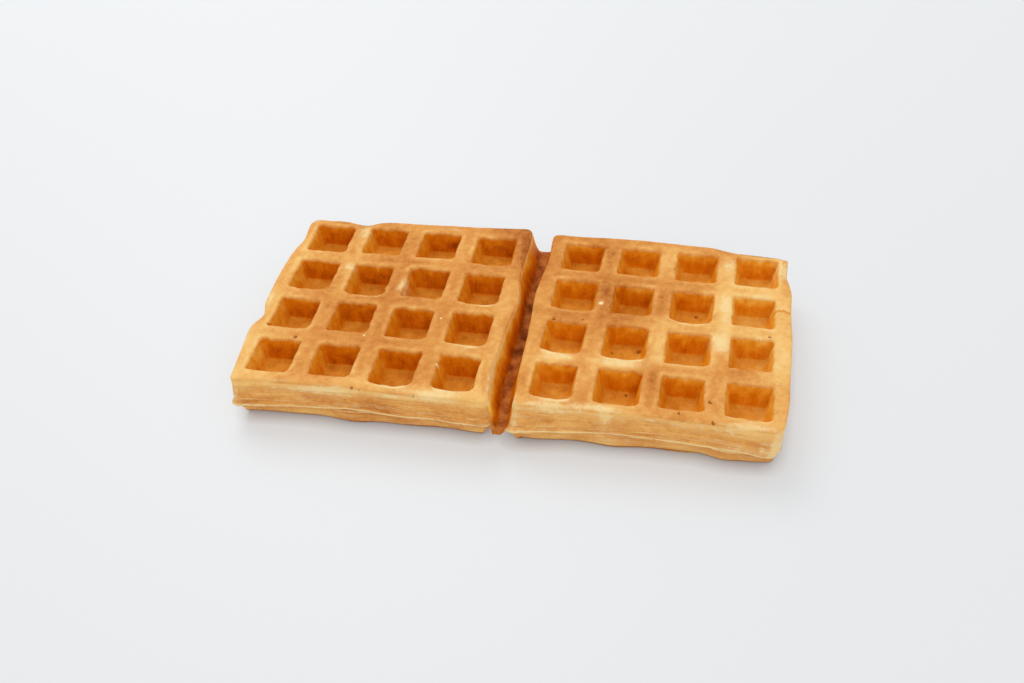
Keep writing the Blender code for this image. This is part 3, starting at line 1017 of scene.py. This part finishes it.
def lip_dough_and_highlight(crust, quick, slow):
    """The pale edges of the pockets' front lips, bare dough with a painted highlight where each lip catches
    the light, wider where a lip sagged.
    """
    facts = crust.facts
    across, along = facts["across"] / MM, facts["along"] / MM
    sagged = sagged_at(crust.points[:, 0], facts)
    # A painted highlight along each front lip, together with bare dough
    edge = bell(-along, LIP_EDGE + SAGGED_OUT * sagged, LIP_MARK + SAGGED_MARK * sagged)
    edge = edge * fade(np.abs(across), *LIP_ENDS) * (along < 0) * (facts["part"] == 1)
    return edge * (LIP_DOUGH_AND_HIGHLIGHT + SAGGED_DOUGH_AND_HIGHLIGHT * sagged + LIP_HIGHLIGHT_QUICK * quick + LIP_HIGHLIGHT_SLOW * slow)


def how_bare(crust, wall, quick, slow, streaks):
    x, y, _ = crust.points.T
    rise = crust.facts["rise"] / MM
    top = crust.facts["part"] == 1
    upper = top | (wall & (rise > UPPER_WALL))
    bare = spots(x, y, BARE) * (TOP_BARE * top + UPPER_WALL_BARE * wall) * upper
    bare += spots(x, crust.facts["rise"], WALL_BARE) * (wall | upper) * fade(y / MM, *FRONT_WALL)
    bare += lip_dough_and_highlight(crust, quick, slow)
    torn = np.maximum(TORN_NOISE * streaks + TORN_NOISE * slow + TORN_BASE, 0)
    return bare + wall * torn * (TORN_LEAST + (1 - TORN_LEAST) * bell(rise, *TORN_BAND))


def browning(crust):
    """What the crust's material reads at each point: how brown it is, with painted shade in the groove
    and on the pockets' walls facing front and back, how bare of crust, with a painted highlight on the
    pockets' front lips, how deep in a pocket or the groove, how much of it is side wall and how far it
    lies above the seam in mm."""
    x, y, z = crust.points.T
    share, groove = crust.facts["share"], crust.facts["groove"]
    wall = (crust.facts["part"] == 0) & (groove == 0)
    slow = field(x, y, z, *SLOW)
    quick = field(x, y, z, *QUICK)
    streaks = field(x, y, z * STREAK_SQUASH, *STREAKS)
    groove_wall = (groove < WEB_SHARE) & (crust.facts["part"] == 1)
    return {
        "brown": np.clip(how_brown(crust, wall, quick, slow, streaks), 0, 1),
        "bare": np.clip(how_bare(crust, wall, quick, slow, streaks), 0, MOST_BARE),
        "deep": np.maximum(share, GROOVE_DEEP * groove * groove_wall),
        "wall": wall.astype(float),
        "rise": crust.facts["rise"] / MM,
    }


def linear(colour):
    """A colour given as sRGB bytes, as the linear colour that a shader takes."""
    shares = [value / 255 for value in colour]
    return (*[s / 12.92 if s <= 0.04045 else ((s + 0.055) / 1.055) ** 2.4 for s in shares], 1.0)


class Shading:
    """Short ways to add the nodes of one material."""

    def __init__(self, name):
        self.material = bpy.data.materials.new(name)
        self.material.use_nodes = True
        self.tree = self.material.node_tree
        self.shader = self.tree.nodes["Principled BSDF"]

    def put(self, value, socket):
        if isinstance(value, bpy.types.NodeSocket):
            self.tree.links.new(value, socket)
        else:
            socket.default_value = value

    def put_all(self, values):
        for name, value in values.items():
            self.put(value, self.shader.inputs[name])

    def math(self, operation, *values, clamp=False):
        made = self.tree.nodes.new("ShaderNodeMath")
        made.operation = operation
        made.use_clamp = clamp
        for socket, value in zip(made.inputs, values):
            self.put(value, socket)
        return made.outputs[0]

    def times(self, value, *others):
        for other in others:
            value = self.math("MULTIPLY", value, other)
        return value

    def larger(self, first, second, clamp=False):
        return self.math("MAXIMUM", first, second, clamp=clamp)

    def attribute(self, name):
        made = self.tree.nodes.new("ShaderNodeAttribute")
        made.attribute_type = "GEOMETRY"
        made.attribute_name = name
        return made.outputs["Fac"]

    def place(self, stretch=(1, 1, 1)):
        """The place on the object, in metres, with its axes stretched."""
        here = self.tree.nodes.new("ShaderNodeTexCoord").outputs["Object"]
        made = self.tree.nodes.new("ShaderNodeVectorMath")
        made.operation = "MULTIPLY"
        self.put(here, made.inputs[0])
        made.inputs[1].default_value = stretch
        return made.outputs[0]

    def noise(self, place, size, detail, rough):
        made = self.tree.nodes.new("ShaderNodeTexNoise")
        made.inputs["Scale"].default_value = 1 / size
        made.inputs["Detail"].default_value = detail
        made.inputs["Roughness"].default_value = rough
        self.put(place, made.inputs["Vector"])
        return made.outputs["Fac"]

    def shifted(self, base, fac, amount):
        """base, raised and lowered by a noise of this reach."""
        return self.math("ADD", base, self.math("MULTIPLY_ADD", fac, 2 * amount, -amount))

    def pulse(self, value, middle, half_width):
        """1 at middle, falling to nothing about twice half_width away."""
        off = self.math("DIVIDE", self.math("SUBTRACT", value, middle), half_width)
        return self.math("EXPONENT", self.math("MULTIPLY", self.math("MULTIPLY", off, off), -1.0))

    def above(self, value, none, full):
        """0 up to none, 1 from full on, and a smooth step between."""
        made = self.tree.nodes.new("ShaderNodeMapRange")
        made.interpolation_type = "SMOOTHSTEP"
        self.put(value, made.inputs["Value"])
        made.inputs["From Min"].default_value = none
        made.inputs["From Max"].default_value = full
        return made.outputs["Result"]

    def mix(self, share, first, second):
        made = self.tree.nodes.new("ShaderNodeMix")
        made.data_type = "RGBA"
        for value, at in zip((share, first, second), MIX_INPUTS):
            self.put(value, made.inputs[at])
        return made.outputs[MIX_OUTPUT]

    def ramp(self, value, colours):
        made = self.tree.nodes.new("ShaderNodeValToRGB")
        self.put(value, made.inputs["Fac"])
        stops = made.color_ramp.elements
        while len(stops) < len(colours):
            stops.new(1.0)
        for stop, (position, colour) in zip(stops, colours):
            stop.position = position
            stop.color = linear(colour)
        return made.outputs["Color"]


def dots(made, table):
    """1 inside a table's round marks on the top, which a little noise makes uneven."""
    flat = made.place((1, 1, 0))
    ragged = made.math("MULTIPLY_ADD", made.noise(flat, *DOT_NOISE), DOT_RAGGED, -DOT_RAGGED / 2)
    outer, inner = DOT_EDGE
    found = 0.0
    for x, y, radius, *_ in table:
        off = made.tree.nodes.new("ShaderNodeVectorMath")
        off.operation = "DISTANCE"
        made.put(flat, off.inputs[0])
        off.inputs[1].default_value = (x * MM, y * MM, 0)
        reach = made.math("ADD", off.outputs["Value"], ragged)
        found = made.larger(found, made.above(reach, outer * radius * MM, inner * radius * MM))
    place = made.tree.nodes.new("ShaderNodeSeparateXYZ")
    made.put(made.place(), place.inputs[0])
    height = made.above(place.outputs["Z"], *DOTS_ABOVE)
    on_top = made.math("SUBTRACT", height, made.attribute("wall"))
    return made.math("MULTIPLY", found, on_top, clamp=True)


def crust_colour(made, brown, deep, mottle):
    """The baked colour: of the ridges, of the pockets' walls and of their floors."""
    drips = made.noise(made.place(DRIPS_STRETCH), *DRIPS)
    crust = made.ramp(brown, CRUST_COLOURS)
    inside = made.ramp(made.shifted(brown, drips, INSIDE_DRIPS), INSIDE_COLOURS)
    bottom = made.ramp(made.shifted(brown, drips, BOTTOM_DRIPS), BOTTOM_COLOURS)
    edge = made.shifted(deep, mottle, EDGE_MOTTLE)
    colour = made.mix(made.above(edge, *INSIDE_FROM), crust, inside)
    return made.mix(made.above(deep, *BOTTOM_FROM), colour, bottom)


def torn_lines(made, rise, torn, unbroken, table):
    """An unbroken line along the side wall, with a table's torn ones."""
    lines = made.pulse(rise, *unbroken)
    for middle, half_width, strength in table:
        line = made.times(made.pulse(rise, middle, half_width), torn, strength)
        lines = made.larger(lines, line)
    return lines


def side_lines(made, layers, mottle):
    """How pale the side wall is along the seam and its torn layers, and how dark with painted shade in the
    crevice under the seam, in the torn creases and at its foot.
    """
    height = made.attribute("rise")
    rise = made.shifted(height, layers, LINES_SWAY)
    torn = made.above(made.noise(made.place(TORN_STRETCH), *TORN), *TORN_FROM)
    streak = made.times(made.above(layers, *STREAKS_FROM), STREAK_STRENGTH)
    pale = made.larger(torn_lines(made, rise, torn, PALE_LINE, TORN_PALE_LINES), streak)
    pale = made.times(pale, made.above(mottle, *LINES_FROM))
    painted_shade = torn_lines(made, rise, torn, CREVICE_SHADE_LINE, TORN_CREASE_SHADES)
    return pale, made.larger(painted_shade, made.above(height, *FOOT_SHADE_FROM))


def bare_dough(made, mottle, fine, layers):
    """How much bare dough shows, with broken edges."""
    bare = made.attribute("bare")
    patchy = made.shifted(made.shifted(bare, mottle, BARE_MOTTLE), fine, BARE_FINE)
    patchy = made.above(made.shifted(patchy, layers, BARE_LAYERS), *BARE_FROM)
    return made.times(patchy, BARE_STRENGTH, made.above(bare, *BARE_WITHIN))


def crust_relief(made, mottle, fine, layers, wall):
    relief = made.math("ADD", made.times(mottle, MOTTLE_RELIEF), made.times(fine, FINE_RELIEF))
    relief = made.math("ADD", relief, made.times(layers, LAYERS_RELIEF, wall))
    bump = made.tree.nodes.new("ShaderNodeBump")
    bump.inputs["Strength"].default_value = BUMP_STRENGTH
    bump.inputs["Distance"].default_value = BUMP_DISTANCE
    made.put(relief, bump.inputs["Height"])
    return bump.outputs["Normal"]


def crust_material():
    made = Shading("baked_crust")
    place = made.place()
    mottle = made.noise(place, *MOTTLE)
    fine = made.noise(place, *FINE)
    layers = made.noise(made.place(LAYERS_STRETCH), *LAYERS)
    deep, wall = made.attribute("deep"), made.attribute("wall")
    brown = made.shifted(made.attribute("brown"), mottle, BROWN_MOTTLE)
    brown = made.shifted(brown, fine, BROWN_FINE)
    brown = made.math("ADD", brown, made.times(made.shifted(0.0, layers, BROWN_LAYERS), wall))
    colour = crust_colour(made, brown, deep, mottle)
    pale, painted_shade = side_lines(made, layers, mottle)
    pale = made.larger(bare_dough(made, mottle, fine, layers), made.times(pale, wall, LINE_AND_SHADE_STRENGTH))
    pale = made.larger(pale, dots(made, SPECKS), clamp=True)
    colour = made.mix(pale, colour, linear(BARE_COLOUR))
    colour = made.mix(made.times(dots(made, CRACK), CRACK_STRENGTH), colour, linear(CRACK_COLOUR))
    # Painted shade: in the pits and bubble holes, in the side wall's crevice and creases and at its foot
    bubble_shade = made.times(dots(made, BUBBLE_SHADE_SPOTS), made.above(deep, *BUBBLES_FROM))
    pits = made.times(made.larger(dots(made, PITS), bubble_shade), PIT_SHADE_STRENGTH)
    painted_shade = made.larger(pits, made.times(painted_shade, wall, LINE_AND_SHADE_STRENGTH), clamp=True)
    colour = made.mix(painted_shade, colour, linear(PAINTED_SHADE_COLOUR))
    roughness = made.math("MULTIPLY_ADD", deep, DEEP_SMOOTHER, ROUGHNESS)
    normal = crust_relief(made, mottle, fine, layers, wall)
    made.put_all({"Base Color": colour, "Roughness": roughness, "Normal": normal, **CRUST_SURFACE})
    return made.material


def added(name, data):
    """A new object of the scene."""
    made = bpy.data.objects.new(name, data)
    bpy.context.scene.collection.objects.link(made)
    return made


def waffle_piece():
    crust = Crust()
    low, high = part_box("waffle")
    crust.centre(low, high)
    crust.roughen()
    shape = bpy.data.meshes.new("waffle_crust")
    shape.from_pydata(crust.points.tolist(), [], crust.faces)
    for name, values in browning(crust).items():
        layer = shape.attributes.new(name, "FLOAT", "POINT")
        layer.data.foreach_set("value", values.astype(np.float32))
    shape.polygons.foreach_set("use_smooth", [True] * len(shape.polygons))
    shape.materials.append(crust_material())
    shape.validate()
    piece = added("waffle_crust", shape)
    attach(piece, "root")
    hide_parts("waffle")


def floor():
    shape = bpy.data.meshes.new("floor")
    half = FLOOR_HALF
    corners = [(-half, -half, 0), (half, -half, 0), (half, half, 0), (-half, half, 0)]
    shape.from_pydata(corners, [], [(0, 1, 2, 3)])
    paint = Shading("pale_floor")
    # The glow is dimmed near the waffle by an occlusion node: a painted contact shadow
    painted_contact_shadow = paint.tree.nodes.new("ShaderNodeAmbientOcclusion")
    painted_contact_shadow.samples = CONTACT_SHADOW_SAMPLES
    painted_contact_shadow.inputs["Distance"].default_value = CONTACT_SHADOW_REACH
    glow_less_contact_shadow = paint.times(painted_contact_shadow.outputs["AO"], FLOOR_GLOW_STRENGTH)
    paint.put_all({name: linear(colour) for name, colour in FLOOR_COLOURS.items()})
    paint.put_all({"Emission Strength": glow_less_contact_shadow, **FLOOR_SURFACE})
    shape.materials.append(paint.material)
    added("floor", shape)


def area_light(name, place, target, size, watts):
    data = bpy.data.lights.new(name, "AREA")
    data.shape = "DISK"
    data.size = size
    data.energy = watts
    lamp = added(name, data)
    lamp.location = place
    lamp.rotation_euler = (Vector(target) - Vector(place)).to_track_quat("-Z", "Y").to_euler()


def lights():
    world = bpy.data.worlds.new("studio")
    world.use_nodes = True
    background = world.node_tree.nodes["Background"]
    background.inputs["Color"].default_value = SKY_COLOUR
    background.inputs["Strength"].default_value = SKY_STRENGTH
    bpy.context.scene.world = world
    for lamp in LAMPS:
        area_light(*lamp)
    bpy.context.scene.view_settings.view_transform = "Standard"


def camera():
    data = bpy.data.cameras.new("camera")
    data.lens = CAMERA_LENS
    data.sensor_width = SENSOR
    data.clip_start = CLIP_START
    held = added("camera", data)
    forward = CAMERA_TARGET - CAMERA_PLACE
    level = forward.to_track_quat("-Z", "Y").to_matrix()
    turned = level @ Matrix.Rotation(CAMERA_ROLL, 3, "Z")
    held.matrix_world = Matrix.Translation(CAMERA_PLACE) @ turned.to_4x4()
    bpy.context.scene.camera = held


waffle_piece()
floor()
lights()
camera()
